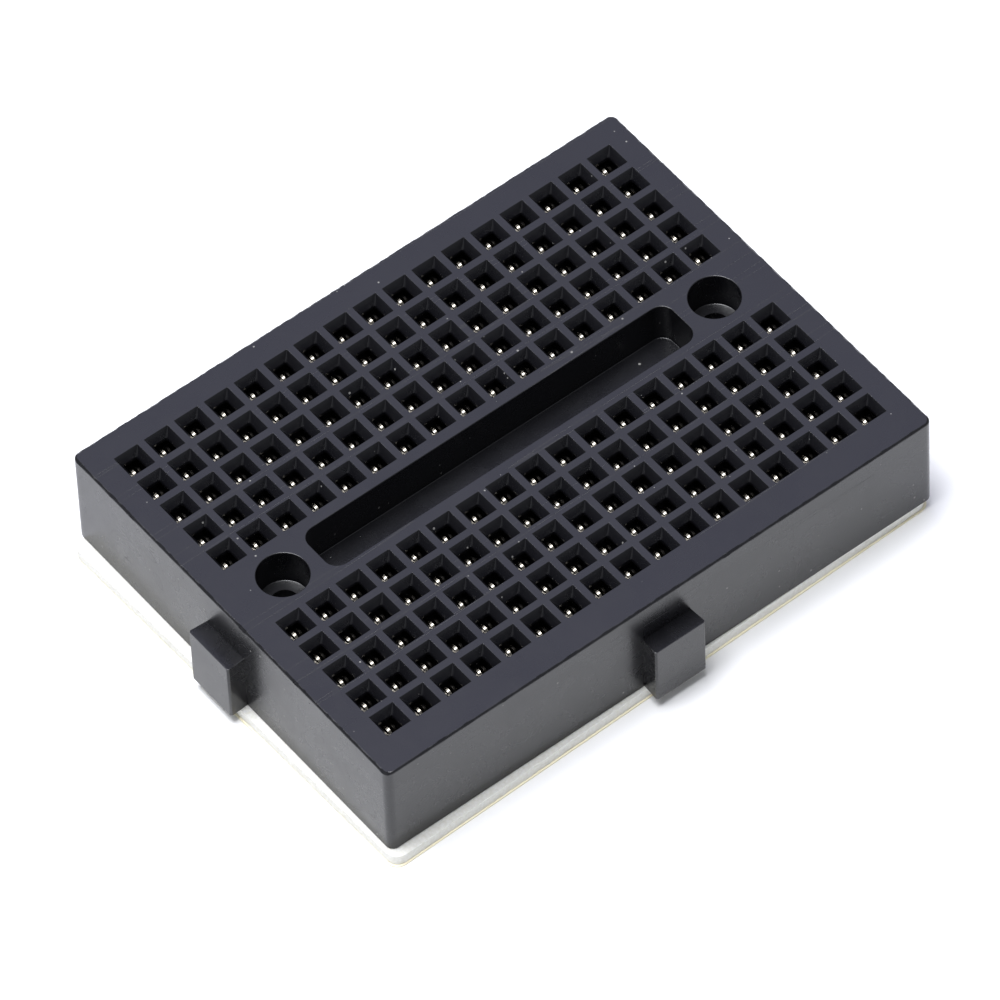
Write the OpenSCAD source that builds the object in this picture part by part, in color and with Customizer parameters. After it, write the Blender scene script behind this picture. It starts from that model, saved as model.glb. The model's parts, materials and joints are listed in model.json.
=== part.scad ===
// Solderless breadboard: a moulded housing with a grid of tie points on either side of a trough,
// one folded spring contact under each half column, and a foam mounting tape with its release liner.
// +X runs along the trough, +Y across it and +Z up. The origin lies on the underside of the release
// liner, straight below the middle of the tie-point grid. All sizes are in millimetres.

/* [Tie points] */
// Distance from one tie point to the next, along and across the board
pitch = 2.54; // [2.2:0.01:3.1]
// Number of tie-point columns along the board
columns = 17; // [11:1:20]
// Number of tie points that one contact clip joins
bank_rows = 5; // [4:1:6]
// Distance across the trough between the two inner rows
bank_gap = 7.62; // [6.35:0.01:9.2]
// Width of the rib that is left between two mouths
rib_w = 0.51; // [0.4:0.01:0.75]
// Width of the square throat below each tapered mouth
throat_w = 1.2; // [0.95:0.01:1.4]
// Depth of the tapered mouth
mouth_depth = 0.65; // [0.4:0.01:0.8]
// Thickness of the top skin, from the top face to the roof of the contact cavities
skin_t = 0.9; // [0.85:0.01:1.4]

/* [Housing] */
// Height of the moulded housing
body_h = 8.5; // [7:0.05:11]
// Radius of the four upright corners
corner_r = 0.6; // [0.45:0.05:1.5]
// Radius of the rounded top edge
edge_r = 0.3; // [0.15:0.01:0.4]
// Wall between the end of a contact cavity and a socket in the long side
side_wall = 0.38; // [0.3:0.01:1.5]
// Wall between the flank of the end contact cavity and a socket in the short side
end_wall = 0.37; // [0.3:0.01:1.5]
// How far the middle of the housing lies from the middle of the grid, towards the short side's tab
grid_offset_x = 0.09; // [0:0.01:0.5]
// How far the middle of the housing lies from the middle of the grid, towards the long side's tab
grid_offset_y = 0.28; // [0:0.01:0.5]

/* [Trough] */
// Depth of the centre trough
trough_depth = 3.4; // [2:0.05:4.2]
// Radius of the trough's upright corners
trough_corner_r = 1; // [0.4:0.05:1.4]
// Wall between the trough and the contact cavities
trough_wall = 0.82; // [0.5:0.01:1.2]
// Wall between the end of the trough and a screw hole's counterbore
trough_end_wall = 1.08; // [0.6:0.01:2]

/* [Screw holes] */
// Diameter of the counterbore for the screw's head
counterbore_d = 3.65; // [3:0.05:4.4]
// Depth of the counterbore
counterbore_depth = 3; // [2:0.05:4]
// Diameter of the through hole for the screw
screw_d = 2; // [1.6:0.05:2.6]
// Distance from a screw hole back towards the middle to the end column's line
screw_inset = 1.82; // [0:0.01:3]

/* [Interlocking tabs and sockets] */
// Width of a tab at its outer face
tab_w = 4.3; // [3.4:0.05:5.2]
// How far a tab stands out of the wall
tab_reach = 1.45; // [1:0.05:1.75]
// Height of a tab above the housing's underside
tab_h = 5.2; // [4.3:0.05:6.3]
// How much the tab widens on each flank towards its outer face
dovetail = 0.09; // [0:0.01:0.15]
// Chamfer on the two outer upright edges of a tab
tab_chamfer = 0.12; // [0.05:0.01:0.5]
// How far the tabs and sockets stand to one side of the grid's middle lines
tab_offset = 0.2; // [-1:0.01:1]

/* [Contact clips] */
// Thickness of the bronze strip
strip_t = 0.2; // [0.15:0.01:0.25]
// Outside width of the folded channel
clip_w = 1.7; // [1.4:0.01:1.8]
// Radius of the fold, at the middle of the strip
fold_r = 0.35; // [0.2:0.01:0.5]
// Height of the straight channel below the fingers' lean
channel_h = 3; // [2.5:0.05:3.8]
// Height of the uncut spine that joins the fingers
spine_h = 2.2; // [1.6:0.05:2.4]
// Width of one spring finger along the clip
finger_w = 1.9; // [1.6:0.01:2.1]
// Width of a finger's tip
tip_w = 1.1; // [0.8:0.01:1.4]
// Gap between two facing fingers where they pinch a lead
pinch_gap = 0.06; // [0.02:0.01:0.2]
// Distance between the tips of two facing fingers, from middle to middle
tip_spread = 0.44; // [0.4:0.01:0.7]
// Height of the flare above the pinch
flare_h = 0.6; // [0.4:0.05:1.2]

/* [Mounting tape] */
// How much longer and wider the tape is than the housing
tape_oversize = 0.4; // [-1:0.05:1]
// Thickness of the foam tape with its two adhesive coats
tape_t = 0.85; // [0.5:0.01:1.6]
// Thickness of the release liner
liner_t = 0.1; // [0.06:0.01:0.2]
// How far the tape was laid off centre along the board
tape_shift_x = -0.68; // [-1:0.01:1]
// How far the tape was laid off centre across the board
tape_shift_y = -0.48; // [-1:0.01:1]
// How far the tape was laid askew, in degrees
tape_skew = 1.2; // [-2:0.1:2]

/* [Clearances] */
// Clearance between a clip's flank and its cavity
clip_gap = 0.1; // [0.05:0.01:0.15]
// Clearance between a clip's end and its cavity
clip_end_gap = 0.15; // [0.05:0.01:0.3]
// Clearance between the fingertips and the roof of the cavity
tip_gap = 0.05; // [0.03:0.01:0.3]
// Clearance all round a neighbour's tab in a socket
socket_gap = 0.12; // [0.05:0.01:0.2]

/* [Hidden] */
$fn = 48;
BANKS = ["front", "back"];
CUT = 0.1;

seat_z = liner_t + tape_t;
mouth_w = pitch - rib_w;
cavity_w = clip_w + 2 * clip_gap;
cavity_overhang = finger_w / 2 + clip_end_gap;
cavity_len = (bank_rows - 1) * pitch + 2 * cavity_overhang;
bank_y = bank_gap / 2 + (bank_rows - 1) * pitch / 2;

clip_len = (bank_rows - 1) * pitch + finger_w;
clip_h = body_h - skin_t - tip_gap;
flank_x = (clip_w - strip_t) / 2;
pinch_x = (pinch_gap + strip_t) / 2;
pinch_z = clip_h - flare_h;

socket_w = tab_w + 2 * socket_gap;
socket_depth = tab_reach + socket_gap;
socket_h = tab_h + socket_gap;
body_x = (columns - 1) * pitch + cavity_w + 2 * (end_wall + socket_depth + grid_offset_x);
bank_end = bank_gap / 2 + (bank_rows - 1) * pitch + cavity_overhang;
body_y = 2 * (bank_end + side_wall + socket_depth + grid_offset_y);
body_middle = [-grid_offset_x, -grid_offset_y, 0];

screw_x = (columns - 1) * pitch / 2 - screw_inset;
trough_x = 2 * screw_x - counterbore_d - 2 * trough_end_wall;
trough_y = bank_gap - 2 * (cavity_overhang + trough_wall);

tape_x = body_x + tape_oversize;
tape_y = body_y + tape_oversize;

function two_digits(n) = n < 10 ? str("0", n) : str(n);
function clip_name(bank, col) = str("contact_", BANKS[bank], "_", two_digits(col + 1));
function column_x(col) = (col - (columns - 1) / 2) * pitch;
function row_y(bank, row) = (bank == 0 ? -1 : 1) * (bank_gap / 2 + row * pitch);
function clip_y(bank) = (bank == 0 ? -1 : 1) * bank_y;

// A rectangle with round corners, centred on the origin
module round_rectangle(x, y, r) {
    square([x - 2 * r, y], center = true);
    square([x, y - 2 * r], center = true);
    for (sx = [-1, 1], sy = [-1, 1])
        translate([sx * (x / 2 - r), sy * (y / 2 - r)])
            circle(r);
}

// The quarter of a disc that lies in the first quadrant
module quarter_disc(r) {
    intersection() {
        circle(r);
        square(r);
    }
}

// The rounded rim on top of one side: a quarter-round rail along X, rounding towards +Y
module edge_rail(len) {
    rotate([90, 0, 90])
        linear_extrude(len, center = true)
            quarter_disc(edge_r);
}

// The rounded rim on top of one corner, a quarter turn of the same rounding
module corner_rim() {
    rotate_extrude(angle = 90) {
        square([corner_r - edge_r, edge_r]);
        translate([corner_r - edge_r, 0])
            quarter_disc(edge_r);
    }
}

// The solid block of the housing, with its upright corners and its top edge rounded
module body_block() {
    flat_x = body_x - 2 * corner_r;
    flat_y = body_y - 2 * corner_r;
    linear_extrude(body_h - edge_r)
        round_rectangle(body_x, body_y, corner_r);
    translate([0, 0, body_h - edge_r]) {
        linear_extrude(edge_r) {
            square([flat_x, body_y - 2 * edge_r], center = true);
            square([body_x - 2 * edge_r, flat_y], center = true);
        }
        for (turn = [0, 180])
            rotate(turn) {
                translate([0, body_y / 2 - edge_r, 0])
                    edge_rail(flat_x);
                translate([body_x / 2 - edge_r, 0, 0])
                    rotate(-90)
                        edge_rail(flat_y);
                translate([flat_x / 2, flat_y / 2, 0])
                    corner_rim();
                translate([-flat_x / 2, flat_y / 2, 0])
                    rotate(90)
                        corner_rim();
            }
    }
}

// Section through a tie point's tapered mouth and straight throat
module tie_point_section() {
    polygon([
        [-mouth_w / 2, body_h + CUT],
        [-mouth_w / 2, body_h],
        [-throat_w / 2, body_h - mouth_depth],
        [-throat_w / 2, body_h - skin_t - CUT],
        [throat_w / 2, body_h - skin_t - CUT],
        [throat_w / 2, body_h - mouth_depth],
        [mouth_w / 2, body_h],
        [mouth_w / 2, body_h + CUT]
    ]);
}

// All the tie points at once: bars of one section along the columns, crossed with bars along the rows
module tie_points() {
    intersection() {
        for (col = [0 : columns - 1])
            translate([column_x(col), 0, 0])
                rotate([90, 0, 0])
                    linear_extrude(body_y, center = true)
                        tie_point_section();
        for (bank = [0, 1], row = [0 : bank_rows - 1])
            translate([0, row_y(bank, row), 0])
                rotate([90, 0, 90])
                    linear_extrude(body_x, center = true)
                        tie_point_section();
    }
}

// The cavities, open below, that hold the contact clips
module contact_cavities() {
    for (bank = [0, 1], col = [0 : columns - 1])
        translate([column_x(col) - cavity_w / 2, clip_y(bank) - cavity_len / 2, -CUT])
            cube([cavity_w, cavity_len, body_h - skin_t + CUT]);
}

module trough() {
    translate([0, 0, body_h - trough_depth])
        linear_extrude(trough_depth + CUT)
            round_rectangle(trough_x, trough_y, trough_corner_r);
}

module screw_hole() {
    translate([0, 0, -CUT])
        cylinder(h = body_h + 2 * CUT, d = screw_d);
    translate([0, 0, body_h - counterbore_depth])
        cylinder(h = counterbore_depth + CUT, d = counterbore_d);
}

// Outline of a tab that stands out of a wall along +X, with its root let into the wall
module tab_outline() {
    root = tab_w / 2 - dovetail;
    outer = tab_w / 2;
    polygon([
        [-side_wall / 2, -root],
        [0, -root],
        [tab_reach - tab_chamfer, -outer],
        [tab_reach, -outer + tab_chamfer],
        [tab_reach, outer - tab_chamfer],
        [tab_reach - tab_chamfer, outer],
        [0, root],
        [-side_wall / 2, root]
    ]);
}

// Outline of the socket that takes a neighbour's tab, cut into a wall along +X
module socket_outline() {
    mouth = socket_w / 2 - dovetail;
    polygon([
        [-CUT, -mouth],
        [0, -mouth],
        [socket_depth, -socket_w / 2],
        [socket_depth, socket_w / 2],
        [0, mouth],
        [-CUT, mouth]
    ]);
}

module tab() {
    linear_extrude(tab_h)
        tab_outline();
}

module interlock_socket() {
    translate([0, 0, -CUT])
        linear_extrude(socket_h + CUT)
            socket_outline();
}

module housing() {
    color([0.14, 0.14, 0.16])
        translate([0, 0, seat_z])
            difference() {
                union() {
                    translate(body_middle)
                        body_block();
                    translate([body_middle.x - body_x / 2, tab_offset, 0])
                        rotate(180)
                            tab();
                    translate([tab_offset, body_middle.y - body_y / 2, 0])
                        rotate(-90)
                            tab();
                }
                tie_points();
                contact_cavities();
                trough();
                for (side = [-1, 1])
                    translate([side * screw_x, 0, 0])
                        screw_hole();
                translate([body_middle.x + body_x / 2, tab_offset, 0])
                    rotate(180)
                        interlock_socket();
                translate([tab_offset, body_middle.y + body_y / 2, 0])
                    rotate(-90)
                        interlock_socket();
            }
}

// The middle line of the folded strip's right-hand half, from the middle of the base to the tip
function half_fold_line() = concat(
    [[0, strip_t / 2]],
    [for (a = [-90 : 45 : 0])
        [flank_x - fold_r + fold_r * cos(a), strip_t / 2 + fold_r + fold_r * sin(a)]],
    [for (u = [0 : 0.25 : 0.75])
        [flank_x + (pinch_x - flank_x) * (1 - cos(180 * u)) / 2, channel_h + (pinch_z - channel_h) * u]],
    [for (v = [0 : 0.25 : 1])
        [pinch_x + (tip_spread / 2 - pinch_x) * v * v, pinch_z + flare_h * v]]
);

// The whole middle line, from the left-hand tip round the base to the right-hand tip
function fold_line() =
    let (half = half_fold_line())
    concat([for (i = [len(half) - 1 : -1 : 1]) [-half[i].x, half[i].y]], half);

// The unit normal to a line of points at point i, pointing to its right
function right_normal(line, i) =
    let (
        last = len(line) - 1,
        along = line[min(i + 1, last)] - line[max(i - 1, 0)]
    )
    [along.y, -along.x] / norm(along);

// Section through the folded strip
module strip_section() {
    line = fold_line();
    last = len(line) - 1;
    polygon(concat(
        [for (i = [0 : last]) line[i] + right_normal(line, i) * strip_t / 2],
        [for (i = [last : -1 : 0]) line[i] - right_normal(line, i) * strip_t / 2]
    ));
}

// Side view of one finger, from the spine up over the tip and back down
function finger_outline(y) = [
    [y - finger_w / 2, spine_h],
    [y - finger_w / 2, channel_h],
    [y - tip_w / 2, pinch_z],
    [y - tip_w / 2, clip_h - strip_t],
    [y - tip_w / 2 + strip_t, clip_h],
    [y + tip_w / 2 - strip_t, clip_h],
    [y + tip_w / 2, clip_h - strip_t],
    [y + tip_w / 2, pinch_z],
    [y + finger_w / 2, channel_h],
    [y + finger_w / 2, spine_h]
];

// Side view of the clip: an uncut spine with one tapered finger for each tie point
module clip_side_view() {
    polygon(concat(
        [[clip_len / 2, -CUT], [-clip_len / 2, -CUT]],
        [for (row = [0 : bank_rows - 1]) each finger_outline((row - (bank_rows - 1) / 2) * pitch)]
    ));
}

// A strip folded into a channel whose walls are cut into facing pairs of spring fingers
module contact_clip() {
    intersection() {
        rotate([90, 0, 0])
            linear_extrude(clip_len + CUT, center = true)
                strip_section();
        rotate([90, 0, 90])
            linear_extrude(clip_w + CUT, center = true)
                clip_side_view();
    }
}

module contact(bank, col) {
    color([0.78, 0.76, 0.72])
        translate([column_x(col), clip_y(bank), seat_z])
            contact_clip();
}

// A sheet cut to the tape's outline, where the tape was laid
module tape_sheet(thickness) {
    translate([tape_shift_x, tape_shift_y, 0])
        rotate(tape_skew)
            linear_extrude(thickness)
                square([tape_x, tape_y], center = true);
}

module foam_tape() {
    color([0.93, 0.93, 0.92])
        translate([0, 0, liner_t])
            tape_sheet(tape_t);
}

module release_liner() {
    color([0.95, 0.92, 0.8])
        tape_sheet(liner_t);
}

housing();
for (bank = [0, 1], col = [0 : columns - 1])
    contact(bank, col);
foam_tape();
release_liner();
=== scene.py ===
# %% [markdown]
# # A small solderless breadboard
#
# A breadboard joins electronic parts without solder. A black moulded housing has a grid of square
# mouths, a folded metal clip lies under each half column, and a foam tape with a paper liner covers
# the underside. The CAD model already holds every size, clearance and motion. This lesson builds the
# looks around it: finer meshes that stand for the CAD solids, materials made of nodes, a camera and
# soft studio light.

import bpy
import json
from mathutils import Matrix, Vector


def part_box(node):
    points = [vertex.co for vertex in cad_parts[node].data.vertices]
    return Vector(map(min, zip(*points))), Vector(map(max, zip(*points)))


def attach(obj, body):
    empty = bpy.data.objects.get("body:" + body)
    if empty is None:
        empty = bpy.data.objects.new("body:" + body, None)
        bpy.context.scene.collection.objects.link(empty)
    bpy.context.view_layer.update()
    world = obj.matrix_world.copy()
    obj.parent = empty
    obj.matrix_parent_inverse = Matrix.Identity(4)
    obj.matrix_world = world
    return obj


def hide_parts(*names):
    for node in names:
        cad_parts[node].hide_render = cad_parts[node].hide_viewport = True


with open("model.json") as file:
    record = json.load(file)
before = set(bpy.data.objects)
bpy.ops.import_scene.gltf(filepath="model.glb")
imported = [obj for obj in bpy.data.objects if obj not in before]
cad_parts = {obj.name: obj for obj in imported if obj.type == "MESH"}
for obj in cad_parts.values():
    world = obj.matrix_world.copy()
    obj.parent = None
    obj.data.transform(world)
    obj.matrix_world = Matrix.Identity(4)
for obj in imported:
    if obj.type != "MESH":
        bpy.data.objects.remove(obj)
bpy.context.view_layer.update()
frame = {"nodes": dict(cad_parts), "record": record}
print("CAD nodes:", len(frame["nodes"]))

# %% [markdown]
# Blender measures in metres, but a breadboard is easier to read in millimetres. Every shape below is
# made in millimetres and shrunk to metres when it is finished, which also keeps the tiny edges well
# above the rounding errors of Blender's own tools.

# %% Units and modules
import json
import math

import bmesh
import bpy
from mathutils import Matrix, Quaternion, Vector, noise

MM = 0.001
scene = bpy.context.scene


def box_mm(node):
    """The lowest and highest corners of a CAD node, in millimetres."""
    low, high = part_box(node)
    return low / MM, high / MM


# %% [markdown]
# The CAD node boxes give the driving sizes: the housing's walls and height, the pitch between two
# clips, and the distance between the two banks. A tab stands out of the left wall and another out of
# the front wall, so those two walls lie one tab's reach inside the housing's box.

# %% Read the driving sizes
housing_low, housing_high = box_mm("housing")
seat = housing_low.z
top = housing_high.z
TAB_REACH = 1.45
wall_low = housing_low + Vector((TAB_REACH, TAB_REACH, 0))
body_middle = (wall_low.xy + housing_high.xy) / 2
body_length, body_width = housing_high.xy - wall_low.xy

clip_low, clip_high = box_mm("contact_front_01")
next_clip_low = box_mm("contact_front_02")[0]
back_clip_low = box_mm("contact_back_01")[0]
pitch = next_clip_low.x - clip_low.x
bank_distance = back_clip_low.y - clip_low.y
clip_nodes = sorted(name for name in frame["nodes"] if name.startswith("contact_"))
columns = len(clip_nodes) // 2
clip_length = clip_high.y - clip_low.y
rows = 1 + int(clip_length // pitch)

mounts = {mount["name"]: mount for mount in frame["record"]["mounts"]}
screw_spacing = mounts["screw_holes"]["dims"]["spacing_x_mm"]
screw_radius = mounts["screw_holes"]["dims"]["hole_r_mm"]
print(f"pitch {pitch:.2f} mm, {columns} columns by {rows} rows, banks {bank_distance:.2f} mm apart")

# %% [markdown]
# ## The camera
#
# A long lens from above the front left corner keeps the edges of the board nearly parallel. The
# camera looks back along a direction given by two angles, is tipped a little to one side, and aims
# at a point on the top face just in front of the middle.

# %% Set up the camera
AZIMUTH = math.radians(-36.05)
ELEVATION = math.radians(52.65)
ROLL = math.radians(-2.78)
DISTANCE = 0.817
AIM = Vector((-3.43, -4.31, top)) * MM
SENSOR_WIDTH = 36
FOCAL_LENGTH = 439

toward_camera = Vector((
    math.sin(AZIMUTH) * math.cos(ELEVATION),
    -math.cos(AZIMUTH) * math.cos(ELEVATION),
    math.sin(ELEVATION),
))
camera = bpy.data.objects.new("camera", bpy.data.cameras.new("camera"))
scene.collection.objects.link(camera)
camera.rotation_mode = "QUATERNION"
camera.rotation_quaternion = (-toward_camera).to_track_quat("-Z", "Y") @ Quaternion((0, 0, 1), ROLL)
camera.location = AIM + toward_camera * DISTANCE
camera.data.sensor_width = SENSOR_WIDTH
camera.data.lens = FOCAL_LENGTH
scene.camera = camera
print("camera at", tuple(round(value, 3) for value in camera.location))

# %% [markdown]
# ## Light
#
# Black plastic shows its shape through what it reflects, so the light is planned as a set of
# surfaces to be mirrored. The white floor glows in the side walls. A wide dim panel stands opposite
# the camera, where the flat top mirrors it, and gives the top an even, bluish grey. A small, bright
# softbox almost overhead lights the floor, and of all the metal only the domed fingertips turn
# towards it, so each one carries a single glint. The world is dim, so the rounded rims and the
# insides of the mouths stay dark.

# %% Softboxes and world
def softbox(name, direction, distance, size, radiance, colour):
    """A square area light that faces the board; radiance is how bright it looks in a mirror."""
    light = bpy.data.lights.new(name, "AREA")
    light.size = size
    light.color = colour
    light.energy = radiance * math.pi * size * size
    lamp = bpy.data.objects.new(name, light)
    outward = Vector(direction).normalized()
    lamp.rotation_mode = "QUATERNION"
    lamp.rotation_quaternion = outward.to_track_quat("Z", "Y")
    lamp.location = outward * distance
    scene.collection.objects.link(lamp)


softbox("mirrored_panel", (0.36, 0.49, 0.8), distance=1.1, size=0.9, radiance=1.0,
        colour=(0.66, 0.67, 1.0))
softbox("key_softbox", (-0.2, 0.08, 0.98), distance=0.8, size=0.4, radiance=19.0,
        colour=(0.95, 0.96, 1.0))

world = bpy.data.worlds.new("studio")
scene.world = world
world.use_nodes = True
backdrop = world.node_tree.nodes["Background"]
backdrop.inputs["Color"].default_value = (0.92, 0.95, 1.0, 1.0)
backdrop.inputs["Strength"].default_value = 0.35
scene.view_settings.view_transform = "Standard"

# %% [markdown]
# ## Small helpers for nodes
#
# Materials and Geometry Nodes trees are built from the same kind of parts, so one function adds any
# node: its settings are named, and an input takes either a value or the output of another node.

# %% One function that adds a node
def add_node(tree, kind, inputs=None, **settings):
    """Adds a node and returns its outputs by name. An input is named, or numbered where names repeat;
    one given as another node's output, or as a list of outputs, is linked to it."""
    node = tree.nodes.new(kind)
    for name, value in settings.items():
        setattr(node, name, value)
    for key, value in (inputs or {}).items():
        socket = next(s for i, s in enumerate(node.inputs) if s.enabled and key in (i, s.name))
        for part in value if isinstance(value, list) else [value]:
            if isinstance(part, bpy.types.NodeSocket):
                tree.links.new(part, socket)
            else:
                socket.default_value = part
    return {socket.name: socket for socket in node.outputs if socket.enabled}


def linear(hex_colour):
    """An sRGB hex colour, such as #1b1b1e, as the linear values that a shader takes."""
    values = [int(hex_colour[i:i + 2], 16) / 255 for i in (1, 3, 5)]
    lit = [v / 12.92 if v <= 0.04045 else ((v + 0.055) / 1.055) ** 2.4 for v in values]
    return (*lit, 1.0)


def per_metre(size_mm):
    """How many repeats of a pattern of this size fit in a metre, which is a texture's scale."""
    return 1 / (size_mm * MM)


def new_material(name):
    """A new node material, with its tree, its shader and the Object coordinates for its patterns."""
    material = bpy.data.materials.new(name)
    material.use_nodes = True
    tree = material.node_tree
    shader = tree.nodes["Principled BSDF"]
    place = add_node(tree, "ShaderNodeTexCoord")["Object"]
    return material, tree, shader, place


# %% [markdown]
# ## Moulded ABS
#
# The housing is injection moulded from black ABS. The mould has a fine satin texture, so the
# plastic has a soft sheen with a grain of a tenth of a millimetre or so, and shrinkage leaves very
# shallow waves a few millimetres wide. Fingers leave cloudy smudges, glossier here and duller
# there. Handling adds short hair-thin scratches and specks of dust, which stick to ABS because it
# holds static.

# %% Make the moulded ABS
SCRATCH_LEVEL = 0.68
SCRATCH_WIDTH = 0.004


def moulded_abs():
    material, tree, shader, place = new_material("moulded_ABS")

    grain = add_node(tree, "ShaderNodeTexNoise", {
        "Vector": place, "Scale": per_metre(0.16), "Detail": 2.0, "Roughness": 0.6})
    waves = add_node(tree, "ShaderNodeTexNoise", {
        "Vector": place, "Scale": per_metre(6), "Detail": 1.0})
    smudges = add_node(tree, "ShaderNodeTexNoise", {
        "Vector": place, "Scale": per_metre(3.5), "Detail": 5.0, "Roughness": 0.65, "Distortion": 0.6})

    # Dust: one speck at most in each cell, most cells left clean, and no two specks the same size
    cells = add_node(tree, "ShaderNodeTexVoronoi", {"Vector": place, "Scale": per_metre(0.9)})
    fate = add_node(tree, "ShaderNodeSeparateColor", {"Color": cells["Color"]})
    size = add_node(tree, "ShaderNodeMapRange", {
        "Value": fate["Red"], "From Min": 0.5, "From Max": 1.0, "To Min": 0.0, "To Max": 0.1})
    speck = add_node(tree, "ShaderNodeMath", {
        0: size["Result"], 1: cells["Distance"]}, operation="GREATER_THAN")

    # Scratches: thin streaks where a noise, drawn out some eightyfold, crosses one high value
    drawn_out = add_node(tree, "ShaderNodeMapping", {
        "Vector": place, "Rotation": (0.3, 0.5, 0.6), "Scale": (0.012, 1.0, 1.0)})
    streaks = add_node(tree, "ShaderNodeTexNoise", {
        "Vector": drawn_out["Vector"], "Scale": per_metre(1.1), "Detail": 0.0})
    offset = add_node(tree, "ShaderNodeMath", {0: streaks["Fac"], 1: SCRATCH_LEVEL}, operation="SUBTRACT")
    width = add_node(tree, "ShaderNodeMath", {0: offset["Value"]}, operation="ABSOLUTE")
    scratch = add_node(tree, "ShaderNodeMath", {0: width["Value"], 1: SCRATCH_WIDTH}, operation="LESS_THAN")

    # Colour: black with a trace of blue, a little uneven, with grey dust on top
    shade = add_node(tree, "ShaderNodeMix", {
        "Factor": waves["Fac"], "A": linear("#0b0b0e"), "B": linear("#101014")},
        data_type="RGBA")
    mixed = add_node(tree, "ShaderNodeMix", {
        "Factor": speck["Value"], "A": shade["Result"], "B": linear("#7c7b78")},
        data_type="RGBA")
    tree.links.new(mixed["Result"], shader.inputs["Base Color"])

    # Gloss: satin, a little uneven, rougher in scratches and dull on dust
    satin = add_node(tree, "ShaderNodeMapRange", {
        "Value": smudges["Fac"], "To Min": 0.18, "To Max": 0.38})
    scuffed = add_node(tree, "ShaderNodeMath", {
        0: scratch["Value"], 1: 0.15, 2: satin["Result"]}, operation="MULTIPLY_ADD")
    dusty = add_node(tree, "ShaderNodeMath", {
        0: speck["Value"], 1: 0.5, 2: scuffed["Value"]}, operation="MULTIPLY_ADD", use_clamp=True)
    tree.links.new(dusty["Value"], shader.inputs["Roughness"])
    shader.inputs["IOR"].default_value = 1.53

    rolling = add_node(tree, "ShaderNodeBump", {
        "Height": waves["Fac"], "Strength": 1.0, "Distance": 0.012 * MM})
    fine = add_node(tree, "ShaderNodeBump", {
        "Height": grain["Fac"], "Strength": 1.0, "Distance": 0.007 * MM,
        "Normal": rolling["Normal"]})
    cut = add_node(tree, "ShaderNodeBump", {
        "Height": scratch["Value"], "Strength": 0.6, "Distance": -0.004 * MM,
        "Normal": fine["Normal"]})
    tree.links.new(cut["Normal"], shader.inputs["Normal"])
    return material


abs_plastic = moulded_abs()
print("material:", abs_plastic.name)

# %% [markdown]
# ## Nickel-plated bronze
#
# The clips are stamped and folded from springy phosphor bronze and plated with nickel, which has
# dulled to a warm grey that still mirrors sharply. Rolling leaves faint streaks along the strip.

# %% Make the plated bronze
def plated_bronze():
    material, tree, shader, place = new_material("nickel_plated_bronze")
    drawn_out = add_node(tree, "ShaderNodeMapping", {"Vector": place, "Scale": (1.0, 0.06, 1.0)})
    streaks = add_node(tree, "ShaderNodeTexNoise", {
        "Vector": drawn_out["Vector"], "Scale": per_metre(0.08), "Detail": 2.0})
    tint = add_node(tree, "ShaderNodeMix", {
        "Factor": streaks["Fac"], "A": linear("#625e57"), "B": linear("#78746c")}, data_type="RGBA")
    tree.links.new(tint["Result"], shader.inputs["Base Color"])
    polish = add_node(tree, "ShaderNodeMapRange", {
        "Value": streaks["Fac"], "To Min": 0.16, "To Max": 0.3})
    tree.links.new(polish["Result"], shader.inputs["Roughness"])
    shader.inputs["Metallic"].default_value = 1.0
    rolled = add_node(tree, "ShaderNodeBump", {
        "Height": streaks["Fac"], "Strength": 1.0, "Distance": 0.0006 * MM})
    tree.links.new(rolled["Normal"], shader.inputs["Normal"])
    return material


bronze = plated_bronze()
print("material:", bronze.name)

# %% [markdown]
# ## Closed-cell foam and release paper
#
# The mounting tape is white polyethylene foam with closed cells a fifth of a millimetre across,
# matt and slightly see-through. Its liner is cream paper with a thin silicone coat that gives a low
# sheen over the fibres.

# %% Make the foam and the paper
def closed_cell_foam():
    material, tree, shader, place = new_material("closed_cell_foam")
    cells = add_node(tree, "ShaderNodeTexVoronoi", {"Vector": place, "Scale": per_metre(0.22)})
    tint = add_node(tree, "ShaderNodeMix", {
        "Factor": cells["Distance"], "A": linear("#eeeeea"), "B": linear("#e1dfd6")}, data_type="RGBA")
    tree.links.new(tint["Result"], shader.inputs["Base Color"])
    shader.inputs["Roughness"].default_value = 0.85
    shader.inputs["IOR"].default_value = 1.5
    shader.inputs["Subsurface Weight"].default_value = 0.3
    shader.inputs["Subsurface Radius"].default_value = (1.0, 1.0, 0.9)
    shader.inputs["Subsurface Scale"].default_value = 0.4 * MM
    dimpled = add_node(tree, "ShaderNodeBump", {
        "Height": cells["Distance"], "Strength": 1.0, "Distance": 0.03 * MM})
    tree.links.new(dimpled["Normal"], shader.inputs["Normal"])
    return material


def release_paper():
    material, tree, shader, place = new_material("siliconised_release_paper")
    drawn_out = add_node(tree, "ShaderNodeMapping", {"Vector": place, "Scale": (0.25, 1.0, 1.0)})
    fibres = add_node(tree, "ShaderNodeTexNoise", {
        "Vector": drawn_out["Vector"], "Scale": per_metre(0.25), "Detail": 3.0})
    tint = add_node(tree, "ShaderNodeMix", {
        "Factor": fibres["Fac"], "A": linear("#f1e7c6"), "B": linear("#f8f2da")}, data_type="RGBA")
    tree.links.new(tint["Result"], shader.inputs["Base Color"])
    shader.inputs["Roughness"].default_value = 0.45
    shader.inputs["IOR"].default_value = 1.45
    felted = add_node(tree, "ShaderNodeBump", {
        "Height": fibres["Fac"], "Strength": 0.7, "Distance": 0.008 * MM})
    tree.links.new(felted["Normal"], shader.inputs["Normal"])
    return material


foam = closed_cell_foam()
paper = release_paper()
print("materials:", foam.name, paper.name)

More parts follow.
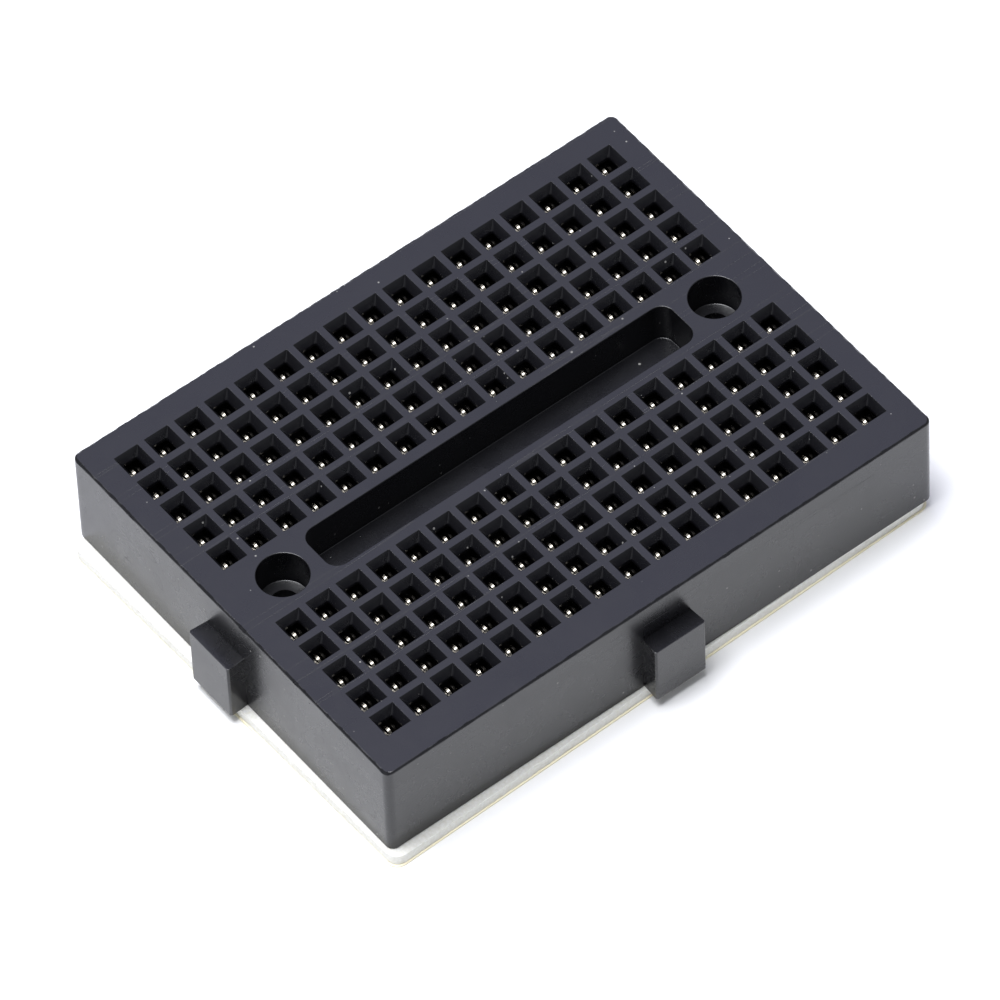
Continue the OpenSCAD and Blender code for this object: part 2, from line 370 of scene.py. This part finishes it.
# %% [markdown]
# ## Lofting
#
# Most of the board is a stack of outlines: a wall is two equal outlines, a rounded edge is a few
# outlines that shrink along an arc, and a tapered mouth is an outline that narrows with depth. A
# loft joins such outlines with quads and closes both ends.

# %% Outlines and lofts
def rounded_rectangle(length, width, radius, corner_steps=3, side_steps=(1, 1)):
    """Points of a rectangle with round corners, anticlockwise from the middle right-hand side.
    side_steps says into how many steps a long side and a short side are divided."""
    points = []
    for corner in range(4):
        side_x = 1 if corner in (0, 3) else -1
        side_y = 1 if corner in (0, 1) else -1
        centre = Vector((side_x * (length / 2 - radius), side_y * (width / 2 - radius)))
        arc = []
        for step in range(corner_steps + 1):
            angle = (corner + step / corner_steps) * math.pi / 2
            arc.append(centre + radius * Vector((math.cos(angle), math.sin(angle))))
        if points:
            points += between(points[-1], arc[0], side_steps[corner % 2 - 1])
        points += arc
    return points + between(points[-1], points[0], side_steps[-1])


def between(start, end, steps):
    """The points that divide the way from start to end into steps, without the two ends."""
    return [start.lerp(end, step / steps) for step in range(1, steps)]


def at_height(outline, z):
    return [Vector((point.x, point.y, z)) for point in outline]


def new_object(name, vertices, faces):
    mesh = bpy.data.meshes.new(name)
    mesh.from_pydata(vertices, [], faces)
    obj = bpy.data.objects.new(name, mesh)
    scene.collection.objects.link(obj)
    return obj


def lofted(name, rings):
    """A closed mesh through rings of points, listed from the bottom up."""
    count = len(rings[0])
    faces = [list(reversed(range(count)))]
    for level in range(len(rings) - 1):
        low = level * count
        high = low + count
        for i in range(count):
            j = (i + 1) % count
            faces.append([low + i, low + j, high + j, high + i])
    last = (len(rings) - 1) * count
    faces.append([last + i for i in range(count)])
    return new_object(name, [point for ring in rings for point in ring], faces)


# %% [markdown]
# ## The housing's block
#
# The outside of the housing is one loft with a rounded top edge. The real edge is where the two
# halves of the mould meet, and it is never perfect: a little flash is left and breaks off unevenly.
# The outline is divided into short steps so that a noise can nick the rounding, always inwards.

# %% Make the block
CORNER_RADIUS = 0.6
EDGE_RADIUS = 0.18
FOOT_RADIUS = 0.08
EDGE_STEPS = 4
RIM_STEP = 0.28
NICK_DEPTH = 0.1
NICK_SIZE = 0.4
NICK_BIAS = 0.25
NICK_DROP = 0.4


def body_outline(inset):
    """The housing's outline, moved inwards all round."""
    long_side = round((body_length - 2 * CORNER_RADIUS) / RIM_STEP)
    short_side = round((body_width - 2 * CORNER_RADIUS) / RIM_STEP)
    outline = rounded_rectangle(
        body_length - 2 * inset, body_width - 2 * inset, CORNER_RADIUS - inset,
        corner_steps=6, side_steps=(long_side, short_side))
    return [point + body_middle for point in outline]


def nicked(ring, share):
    """The ring with noise taken off it, towards the middle and down, share of the full depth."""
    moved = []
    for point in ring:
        depth = NICK_DEPTH * share * max(0.0, noise.noise(point / NICK_SIZE) + NICK_BIAS)
        inward = Vector((-point.x, -point.y, 0)).normalized()
        moved.append(point + depth * (inward + Vector((0, 0, -NICK_DROP))))
    return moved


def body_rings():
    rings = [
        at_height(body_outline(FOOT_RADIUS), seat),
        at_height(body_outline(0), seat + FOOT_RADIUS),
        at_height(body_outline(0), top - EDGE_RADIUS),
    ]
    for step in range(1, EDGE_STEPS + 1):
        angle = math.pi / 2 * step / EDGE_STEPS
        inset = EDGE_RADIUS * (1 - math.cos(angle))
        ring = at_height(body_outline(inset), top - EDGE_RADIUS * (1 - math.sin(angle)))
        share = math.sin(math.pi * step / (EDGE_STEPS + 1))
        rings.append(nicked(ring, share) if step < EDGE_STEPS else ring)
    return rings


block = lofted("block", body_rings())
print("block faces:", len(block.data.polygons))

# %% [markdown]
# ## Tabs and sockets
#
# A tab on one short and one long side slides down into a socket of the next board. Both have the
# same dovetail outline: it widens outwards, so that joined boards can't be pulled apart.

# %% Make the tabs and the socket cutters
TAB_WIDTH = 4.3
TAB_HEIGHT = 5.2
TAB_CHAMFER = 0.12
TAB_OFFSET = 0.2
DOVETAIL = 0.09
TAB_ROOT = 0.4
TAB_EDGE = 0.05
SOCKET_GAP = 0.12
CUT = 0.3


def mirrored(half):
    """The outline whose lower half is given, point by point from the root outwards."""
    return [Vector(p) for p in half] + [Vector((x, -y)) for x, y in reversed(half)]


def turned(outline, turn, wall, outward):
    """An outline drawn for a wall that faces +X, turned to face another way and moved out to the wall,
    then set a little off the grid's middle line."""
    rotation = Matrix.Rotation(turn, 2)
    sideways = Vector((abs(outward.y), abs(outward.x))) * TAB_OFFSET
    return [rotation @ point + outward * wall + sideways for point in outline]


def prism(name, outline, low, high):
    return lofted(name, [at_height(outline, low), at_height(outline, high)])


tab_outline = mirrored([
    (-TAB_ROOT, DOVETAIL - TAB_WIDTH / 2),
    (0, DOVETAIL - TAB_WIDTH / 2),
    (TAB_REACH - TAB_CHAMFER, -TAB_WIDTH / 2),
    (TAB_REACH, TAB_CHAMFER - TAB_WIDTH / 2),
])
socket_depth = TAB_REACH + SOCKET_GAP
socket_outline = mirrored([
    (-socket_depth, -TAB_WIDTH / 2 - SOCKET_GAP),
    (0, DOVETAIL - TAB_WIDTH / 2 - SOCKET_GAP),
    (CUT, DOVETAIL - TAB_WIDTH / 2 - SOCKET_GAP),
])

tabs = []
sockets = []
for side, turn, outward, tab_wall, socket_wall in (
    ("short", math.pi, Vector((-1, 0)), -wall_low.x, housing_high.x),
    ("long", -math.pi / 2, Vector((0, -1)), -wall_low.y, housing_high.y),
):
    tabs.append(prism(
        f"tab_{side}", turned(tab_outline, turn, tab_wall, outward), seat, seat + TAB_HEIGHT))
    sockets.append(prism(
        f"socket_{side}", turned(socket_outline, turn + math.pi, socket_wall, -outward),
        seat - CUT, seat + TAB_HEIGHT + SOCKET_GAP))
for tab in tabs:
    rounding = tab.modifiers.new("rounding", "BEVEL")
    rounding.width = TAB_EDGE
    rounding.segments = 2
    rounding.limit_method = "ANGLE"
    rounding.angle_limit = math.radians(30)
print("tabs:", len(tabs), "sockets:", len(sockets))

# %% [markdown]
# ## Cutters
#
# Everything hollow is made as a solid of its own, a cutter, that is later taken away from the block.
# Where a cutter leaves the top face it flares along a small arc, so that the edge it cuts is rounded
# as a moulded edge is. It then stands straight a hair above the top, so that two faces never lie in
# one plane, which a Boolean can't judge.

# %% Cutters for the mouths and the clip cavities
RIB = 0.51
MOUTH_HALF = (pitch - RIB) / 2
THROAT_HALF = 0.6
MOUTH_DEPTH = 0.65
SKIN = 0.9
LIP_RADIUS = 0.03
MOUTH_CORNER = 0.02
THROAT_CORNER = 0.15
THROAT_EASE_WIDTH = 0.02
THROAT_EASE_LOW = 0.04
THROAT_EASE_HIGH = 0.03
SKIM = 0.002
CAVITY_CORNER = 0.15
CAVITY_GAP = 0.1
CAVITY_END_GAP = 0.15


def square_ring(half, corner, z):
    return at_height(rounded_rectangle(2 * half, 2 * half, corner, corner_steps=2), z)


def mouth_cutter():
    """A tapered mouth above a straight throat, with a rounded lip."""
    slope = math.atan2(MOUTH_DEPTH, MOUTH_HALF - THROAT_HALF)
    rings = [
        square_ring(THROAT_HALF, THROAT_CORNER, top - SKIN - CUT),
        square_ring(THROAT_HALF, THROAT_CORNER, top - MOUTH_DEPTH - THROAT_EASE_LOW),
        square_ring(THROAT_HALF + THROAT_EASE_WIDTH, THROAT_CORNER, top - MOUTH_DEPTH + THROAT_EASE_HIGH),
    ]
    for share in (1, 0.5):
        angle = slope * share
        half = MOUTH_HALF - LIP_RADIUS * math.sin(angle)
        rings.append(square_ring(half, MOUTH_CORNER, top - LIP_RADIUS * (1 - math.cos(angle))))
    rings.append(square_ring(MOUTH_HALF, MOUTH_CORNER, top + SKIM))
    rings.append(square_ring(MOUTH_HALF, MOUTH_CORNER, top + CUT))
    return lofted("mouth_cutter", rings)


def cavity_cutter():
    length = clip_length + 2 * CAVITY_END_GAP
    width = clip_high.x - clip_low.x + 2 * CAVITY_GAP
    outline = rounded_rectangle(width, length, CAVITY_CORNER, corner_steps=2)
    return prism("cavity_cutter", outline, seat - CUT, top - SKIN)


mouth = mouth_cutter()
cavity = cavity_cutter()
print("faces of one mouth cutter:", len(mouth.data.polygons))

# %% [markdown]
# The trough between the banks leaves room under a chip for a puller, and the two stepped holes take
# screws. Both are lofts as well: their floors meet the walls in a small fillet.

# %% Cutters for the trough and the screw holes
TROUGH_DEPTH = 3.4
TROUGH_LENGTH = 31.19
TROUGH_WIDTH = 3.78
TROUGH_CORNER = 1.0
TROUGH_LIP = 0.08
FILLET = 0.08
BORE_RADIUS = 1.825
BORE_DEPTH = 3.0
ARC_STEPS = 3


def pocket_profile(depth, lip):
    """(inset, height) steps of a pocket's wall: floor fillet, wall, rounded lip and a straight end."""
    quarter = [math.pi / 2 * step / ARC_STEPS for step in range(ARC_STEPS + 1)]
    fillet = [(FILLET * (1 - math.sin(a)), top - depth + FILLET * (1 - math.cos(a))) for a in quarter]
    edge = [(-lip * (1 - math.cos(a)), top - lip * (1 - math.sin(a))) for a in quarter[:-1]]
    return fillet + edge + [(-lip, top + SKIM), (-lip, top + CUT)]


def circle(radius, steps=48):
    return [radius * Vector((math.cos(a), math.sin(a)))
            for a in (2 * math.pi * step / steps for step in range(steps))]


trough = lofted("trough_cutter", [
    at_height(rounded_rectangle(
        TROUGH_LENGTH - 2 * inset, TROUGH_WIDTH - 2 * inset, TROUGH_CORNER - inset,
        corner_steps=8), height)
    for inset, height in pocket_profile(TROUGH_DEPTH, TROUGH_LIP)
])
screw_hole = lofted("screw_hole_cutter", [
    at_height(circle(screw_radius), seat - CUT),
    at_height(circle(screw_radius), top - BORE_DEPTH),
] + [
    at_height(circle(BORE_RADIUS - inset), height)
    for inset, height in pocket_profile(BORE_DEPTH, TROUGH_LIP)
])
print("trough and screw-hole cutters made")

# %% [markdown]
# ## Geometry Nodes for the housing
#
# The housing follows a rule: a block, less one mouth for each tie point, less one cavity for each
# clip, less the trough, the screw holes and the sockets. A Geometry Nodes tree says exactly that.
# The pitch and the counts are inputs, so another board of the family is one number away.

# %% Helpers that build and run a tree
def new_tree(name, inputs):
    """An empty Geometry Nodes tree whose named inputs are given as {name: socket type}."""
    tree = bpy.data.node_groups.new(name, "GeometryNodeTree")
    tree.interface.new_socket("Geometry", in_out="INPUT", socket_type="NodeSocketGeometry")
    for label, kind in inputs.items():
        tree.interface.new_socket(label, in_out="INPUT", socket_type="NodeSocket" + kind)
    tree.interface.new_socket("Geometry", in_out="OUTPUT", socket_type="NodeSocketGeometry")
    return tree, add_node(tree, "NodeGroupInput")


def run_tree(tree, start, values):
    """Runs a tree on an object and returns its result as a plain mesh."""
    modifier = start.modifiers.new(tree.name, "NODES")
    modifier.node_group = tree
    for item in tree.interface.items_tree:
        if item.in_out == "INPUT" and item.name in values:
            modifier[item.identifier] = values[item.name]
    graph = bpy.context.evaluated_depsgraph_get()
    return bpy.data.meshes.new_from_object(start.evaluated_get(graph), depsgraph=graph)


# %% The housing's tree
def span(tree, count, step):
    """The distance from the first to the last of so many things, one step apart."""
    gaps = add_node(tree, "ShaderNodeMath", {0: count, 1: 1.0}, operation="SUBTRACT")
    return add_node(tree, "ShaderNodeMath", {0: gaps["Value"], 1: step}, operation="MULTIPLY")["Value"]


def grid_of(tree, thing, count_x, size_x, count_y, size_y):
    """Copies of a thing on a grid, as real geometry."""
    grid = add_node(tree, "GeometryNodeMeshGrid", {
        "Size X": size_x, "Size Y": size_y, "Vertices X": count_x, "Vertices Y": count_y})
    copies = add_node(tree, "GeometryNodeInstanceOnPoints", {
        "Points": grid["Mesh"], "Instance": thing})
    return add_node(tree, "GeometryNodeRealizeInstances", {"Geometry": copies["Instances"]})


def geometry_of(tree, obj):
    return add_node(tree, "GeometryNodeObjectInfo", {"Object": obj})["Geometry"]


def housing_tree():
    tree, given = new_tree("moulded_housing", {
        "Mouth": "Object", "Cavity": "Object", "Trough": "Object", "Screw hole": "Object",
        "Tab 1": "Object", "Tab 2": "Object", "Socket 1": "Object", "Socket 2": "Object",
        "Pitch": "Float", "Columns": "Int", "Rows": "Int", "Bank distance": "Float",
        "Screw spacing": "Float", "Material": "Material"})
    length = span(tree, given["Columns"], given["Pitch"])
    bank = span(tree, given["Rows"], given["Pitch"])

    one_bank = grid_of(
        tree, geometry_of(tree, given["Mouth"]), given["Columns"], length, given["Rows"], bank)
    mouths = grid_of(tree, one_bank["Geometry"], 1, 0.0, 2, given["Bank distance"])
    cavities = grid_of(
        tree, geometry_of(tree, given["Cavity"]), given["Columns"], length, 2, given["Bank distance"])
    screw_holes = grid_of(tree, geometry_of(tree, given["Screw hole"]), 2, given["Screw spacing"], 1, 0.0)

    solid = add_node(tree, "GeometryNodeMeshBoolean", {
        1: [given["Geometry"], geometry_of(tree, given["Tab 1"]), geometry_of(tree, given["Tab 2"])]},
        operation="UNION", solver="MANIFOLD")["Mesh"]
    single = [geometry_of(tree, given[name]) for name in ("Trough", "Socket 1", "Socket 2")]
    for cutters in ([mouths["Geometry"]], [cavities["Geometry"]],
                    single + [screw_holes["Geometry"]]):
        solid = add_node(tree, "GeometryNodeMeshBoolean", {
            "Mesh 1": solid, "Mesh 2": cutters}, operation="DIFFERENCE", solver="MANIFOLD")["Mesh"]
    finished = add_node(tree, "GeometryNodeSetMaterial", {"Geometry": solid, "Material": given["Material"]})
    add_node(tree, "NodeGroupOutput", {"Geometry": finished["Geometry"]})
    return tree


housing_mesh = run_tree(housing_tree(), block, {
    "Mouth": mouth, "Cavity": cavity, "Trough": trough, "Screw hole": screw_hole,
    "Tab 1": tabs[0], "Tab 2": tabs[1], "Socket 1": sockets[0], "Socket 2": sockets[1],
    "Pitch": pitch, "Columns": columns, "Rows": rows, "Bank distance": bank_distance,
    "Screw spacing": screw_spacing, "Material": abs_plastic})
print("housing:", len(housing_mesh.vertices), "points,", len(housing_mesh.polygons), "faces")

# %% [markdown]
# ## Finishing a piece
#
# A finished piece is a plain mesh in metres with its object at the origin. Its tiny leftovers are
# merged, its curved parts are shaded smooth, and it is tied to the CAD: it rides on a body and it
# stands for its CAD nodes, which are hidden.

# %% A function that finishes a piece
SMOOTH_UP_TO = math.radians(35)


def finish_piece(name, mesh, body, nodes, merge=0.0005):
    tidy = bmesh.new()
    tidy.from_mesh(mesh)
    bmesh.ops.remove_doubles(tidy, verts=tidy.verts, dist=merge)
    bmesh.ops.dissolve_degenerate(tidy, dist=merge, edges=tidy.edges)
    open_edges = sum(not edge.is_manifold for edge in tidy.edges)
    volume = tidy.calc_volume(signed=True)
    bmesh.ops.scale(tidy, vec=(MM, MM, MM), verts=tidy.verts)
    tidy.to_mesh(mesh)
    tidy.free()
    mesh.name = name
    mesh.shade_smooth()
    mesh.set_sharp_from_angle(angle=SMOOTH_UP_TO)
    piece = bpy.data.objects.new(name, mesh)
    scene.collection.objects.link(piece)
    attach(piece, body)
    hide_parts(*nodes)
    print(f"{name}: {len(mesh.polygons)} faces, {volume:.1f} mm3, {open_edges} open edges")
    return piece


housing = finish_piece("moulded_housing", housing_mesh, "board", ["housing"])
flat_faces_win = housing.modifiers.new("flat_faces_win", "WEIGHTED_NORMAL")
flat_faces_win.weight = 90
flat_faces_win.keep_sharp = True
for helper in [block, mouth, cavity, trough, screw_hole, *tabs, *sockets]:
    bpy.data.objects.remove(helper)

# %% [markdown]
# ## One contact clip
#
# A clip is stamped from thin strip, folded into a channel, and its walls are slit into facing pairs
# of fingers that lean together, pinch the lead between them, and flare apart at the very tip. The
# mesh is made the same way: a flat grid of quads with the slits left out, bent along a fold line,
# then given its thickness by a Solidify modifier. The tips are domed, so that a lead slides in past
# them, and shearing leaves the strip's edges sharp.

# %% Make one clip
STRIP = 0.2
FOLD_RADIUS = 0.35
FOLD_STEPS = 3
FINGER_STEPS = 5
SPINE_HEIGHT = 2.2
CHANNEL_HEIGHT = 3.0
FINGER_WIDTH = clip_length - (rows - 1) * pitch
TIP_WIDTH = 0.9
PINCH_GAP = 0.06
TIP_SPREAD = 0.44
FLARE = 0.6
TIP_ALLOWANCE = 0.03
DOME_RADIUS = 0.5
clip_height = clip_high.z - clip_low.z
flank = (clip_high.x - clip_low.x - STRIP) / 2
pinch_x = (PINCH_GAP + STRIP) / 2
pinch_z = clip_height - FLARE


def half_fold_line():
    """The middle of the folded strip, from the middle of the base to the right-hand tip."""
    line = [(0.0, STRIP / 2)]
    for step in range(FOLD_STEPS + 1):
        angle = math.pi / 2 * (step / FOLD_STEPS - 1)
        line.append((flank - FOLD_RADIUS * (1 - math.cos(angle)),
                     STRIP / 2 + FOLD_RADIUS * (1 + math.sin(angle))))
    line += [(flank, SPINE_HEIGHT), (flank, CHANNEL_HEIGHT)]
    for step in range(1, FINGER_STEPS + 1):
        lean = (1 - math.cos(math.pi * step / FINGER_STEPS)) / 2
        line.append((flank + (pinch_x - flank) * lean,
                     CHANNEL_HEIGHT + (pinch_z - CHANNEL_HEIGHT) * step / FINGER_STEPS))
    for step in range(1, FINGER_STEPS + 1):
        flare = (step / FINGER_STEPS) ** 2
        line.append((pinch_x + (TIP_SPREAD / 2 - pinch_x) * flare,
                     pinch_z + (FLARE - TIP_ALLOWANCE) * step / FINGER_STEPS))
    return line


def half_width_at(z):
    """Half of a finger's width at a height: full in the channel, tapering to the pinch."""
    taper = min(1.0, max(0.0, (z - CHANNEL_HEIGHT) / (pinch_z - CHANNEL_HEIGHT)))
    return (FINGER_WIDTH + (TIP_WIDTH - FINGER_WIDTH) * taper) / 2


def domed(y, z):
    """The height of a point of a finger whose tip is domed: it sinks towards the finger's edges."""
    if z <= pinch_z:
        return z
    rise = (z - pinch_z) / (clip_height - pinch_z)
    return z - rise * (DOME_RADIUS - math.sqrt(DOME_RADIUS ** 2 - y ** 2))


def folded_clip():
    half = half_fold_line()
    line = [(-x, z) for x, z in reversed(half[1:])] + half
    sides = (-1, -0.5, 0, 0.5, 1)
    across = len(sides) * rows
    vertices = []
    for x, z in line:
        for row in range(rows):
            middle = (row - (rows - 1) / 2) * pitch
            for side in sides:
                y = side * half_width_at(z)
                vertices.append((x, middle + y, domed(y, z)))
    faces = []
    for level in range(len(line) - 1):
        in_fingers = max(line[level][1], line[level + 1][1]) > SPINE_HEIGHT + 0.01
        for i in range(across - 1):
            if (i + 1) % len(sides) == 0 and in_fingers:
                continue
            start = level * across + i
            faces.append([start, start + 1, start + across + 1, start + across])
    clip = new_object("clip", vertices, faces)
    thick = clip.modifiers.new("strip_thickness", "SOLIDIFY")
    thick.thickness = STRIP
    thick.offset = 0
    thick.use_even_offset = True
    return clip


clip = folded_clip()
print("faces of the flat clip:", len(clip.data.polygons))

# %% [markdown]
# ## Geometry Nodes for the clips
#
# The same clip lies under all the half columns. The tree sets it on a grid, and moves each copy by a
# small random amount, because a real clip has some play in its cavity and no two settle alike.

# %% Lay out the clips
def clips_tree():
    tree, given = new_tree("contact_clips", {
        "Pitch": "Float", "Columns": "Int", "Bank distance": "Float", "Seat height": "Float",
        "Play": "Vector", "Seed": "Int", "Material": "Material"})
    length = span(tree, given["Columns"], given["Pitch"])
    grid = add_node(tree, "GeometryNodeMeshGrid", {
        "Size X": length, "Size Y": given["Bank distance"],
        "Vertices X": given["Columns"], "Vertices Y": 2})
    copies = add_node(tree, "GeometryNodeInstanceOnPoints", {
        "Points": grid["Mesh"], "Instance": given["Geometry"]})
    least = add_node(tree, "ShaderNodeVectorMath", {0: given["Play"], "Scale": -1.0}, operation="SCALE")
    play = add_node(tree, "FunctionNodeRandomValue", {
        "Min": least["Vector"], "Max": given["Play"], "Seed": given["Seed"]}, data_type="FLOAT_VECTOR")
    settled = add_node(tree, "GeometryNodeTranslateInstances", {
        "Instances": copies["Instances"], "Translation": play["Value"]})
    lift = add_node(tree, "ShaderNodeCombineXYZ", {"Z": given["Seat height"]})
    placed = add_node(tree, "GeometryNodeTransform", {
        "Geometry": settled["Instances"], "Translation": lift["Vector"]})
    real = add_node(tree, "GeometryNodeRealizeInstances", {"Geometry": placed["Geometry"]})
    plated = add_node(tree, "GeometryNodeSetMaterial", {
        "Geometry": real["Geometry"], "Material": given["Material"]})
    add_node(tree, "NodeGroupOutput", {"Geometry": plated["Geometry"]})
    return tree


clips_mesh = run_tree(clips_tree(), clip, {
    "Pitch": pitch, "Columns": columns, "Bank distance": bank_distance, "Seat height": seat,
    "Play": (0.03, 0.08, 0.0), "Seed": 4, "Material": bronze})
finish_piece("contact_clips", clips_mesh, "board", clip_nodes, merge=0.0001)
bpy.data.objects.remove(clip)

# %% [markdown]
# ## Foam tape and liner
#
# The tape is knife-cut a little larger than the housing and was laid slightly askew. Its cut edge
# opens foam cells, so the edge is finely ragged. The liner below it is cut in the same stroke and
# stands out a hair's breadth all round. Both sizes are worked out from the CAD box, whose sides are
# those of the turned sheet.

# %% Make the tape and the liner
SKEW = math.radians(1.2)
SHEET_CORNER = 0.9
SHEET_STEP = 0.25
FOAM_INSET = 0.1
FOAM_ROUGHNESS = 0.09
PAPER_ROUGHNESS = 0.02
TAPE_LEVELS = 6
CELL = 0.3

tape_low, tape_high = box_mm("foam_tape")
sheet_middle = (tape_low + tape_high) / 2
box_x = tape_high.x - tape_low.x
box_y = tape_high.y - tape_low.y
sheet_length = (box_x * math.cos(SKEW) - box_y * math.sin(SKEW)) / math.cos(2 * SKEW)
sheet_width = (box_y * math.cos(SKEW) - box_x * math.sin(SKEW)) / math.cos(2 * SKEW)


def sheet_ring(inset, z, roughness):
    """The sheet's turned outline at one height, with cells of a given size opened along its edge."""
    outline = rounded_rectangle(
        sheet_length - 2 * inset, sheet_width - 2 * inset, SHEET_CORNER, corner_steps=6,
        side_steps=(round(sheet_length / SHEET_STEP), round(sheet_width / SHEET_STEP)))
    ring = []
    for point in outline:
        spot = Vector((point.x, point.y, z))
        inward = Vector((-point.x, -point.y, 0)).normalized()
        ring.append(spot + inward * roughness * (0.5 + 0.5 * noise.noise(spot / CELL)))
    turn = Matrix.Rotation(SKEW, 3, "Z")
    return [turn @ spot + Vector((sheet_middle.x, sheet_middle.y, 0)) for spot in ring]


tape_thickness = tape_high.z - tape_low.z
tape = lofted("tape", [
    sheet_ring(FOAM_INSET, tape_low.z + tape_thickness * level / TAPE_LEVELS, FOAM_ROUGHNESS)
    for level in range(TAPE_LEVELS + 1)
])
liner = lofted("liner", [sheet_ring(0, z, PAPER_ROUGHNESS) for z in (0, tape_low.z)])
for helper, name, body, node, slot, material in (
    (tape, "mounting_tape", "board", "foam_tape", "foam_tape", foam),
    (liner, "liner_sheet", "liner", "release_liner", "liner_paper", paper),
):
    mesh = helper.data.copy()
    mesh.materials.append(material)
    finish_piece(name, mesh, body, [node])
    bpy.data.objects.remove(helper)

# %% [markdown]
# ## The floor
#
# The board lies on a plain white tabletop, much wider than the view, which the light turns into an
# even white ground.

# %% Make the floor
FLOOR_SIZE = 6.0
FLOOR_GAP = 0.01 * MM
half_floor = FLOOR_SIZE / 2
floor = new_object("floor", [
    (-half_floor, -half_floor, 0), (half_floor, -half_floor, 0),
    (half_floor, half_floor, 0), (-half_floor, half_floor, 0)], [(0, 1, 2, 3)])
white, _, white_shader, _ = new_material("matt_white_board")
white_shader.inputs["Base Color"].default_value = linear("#f2f2f2")
white_shader.inputs["Roughness"].default_value = 0.9
floor.data.materials.append(white)
floor.location.z = -FLOOR_GAP
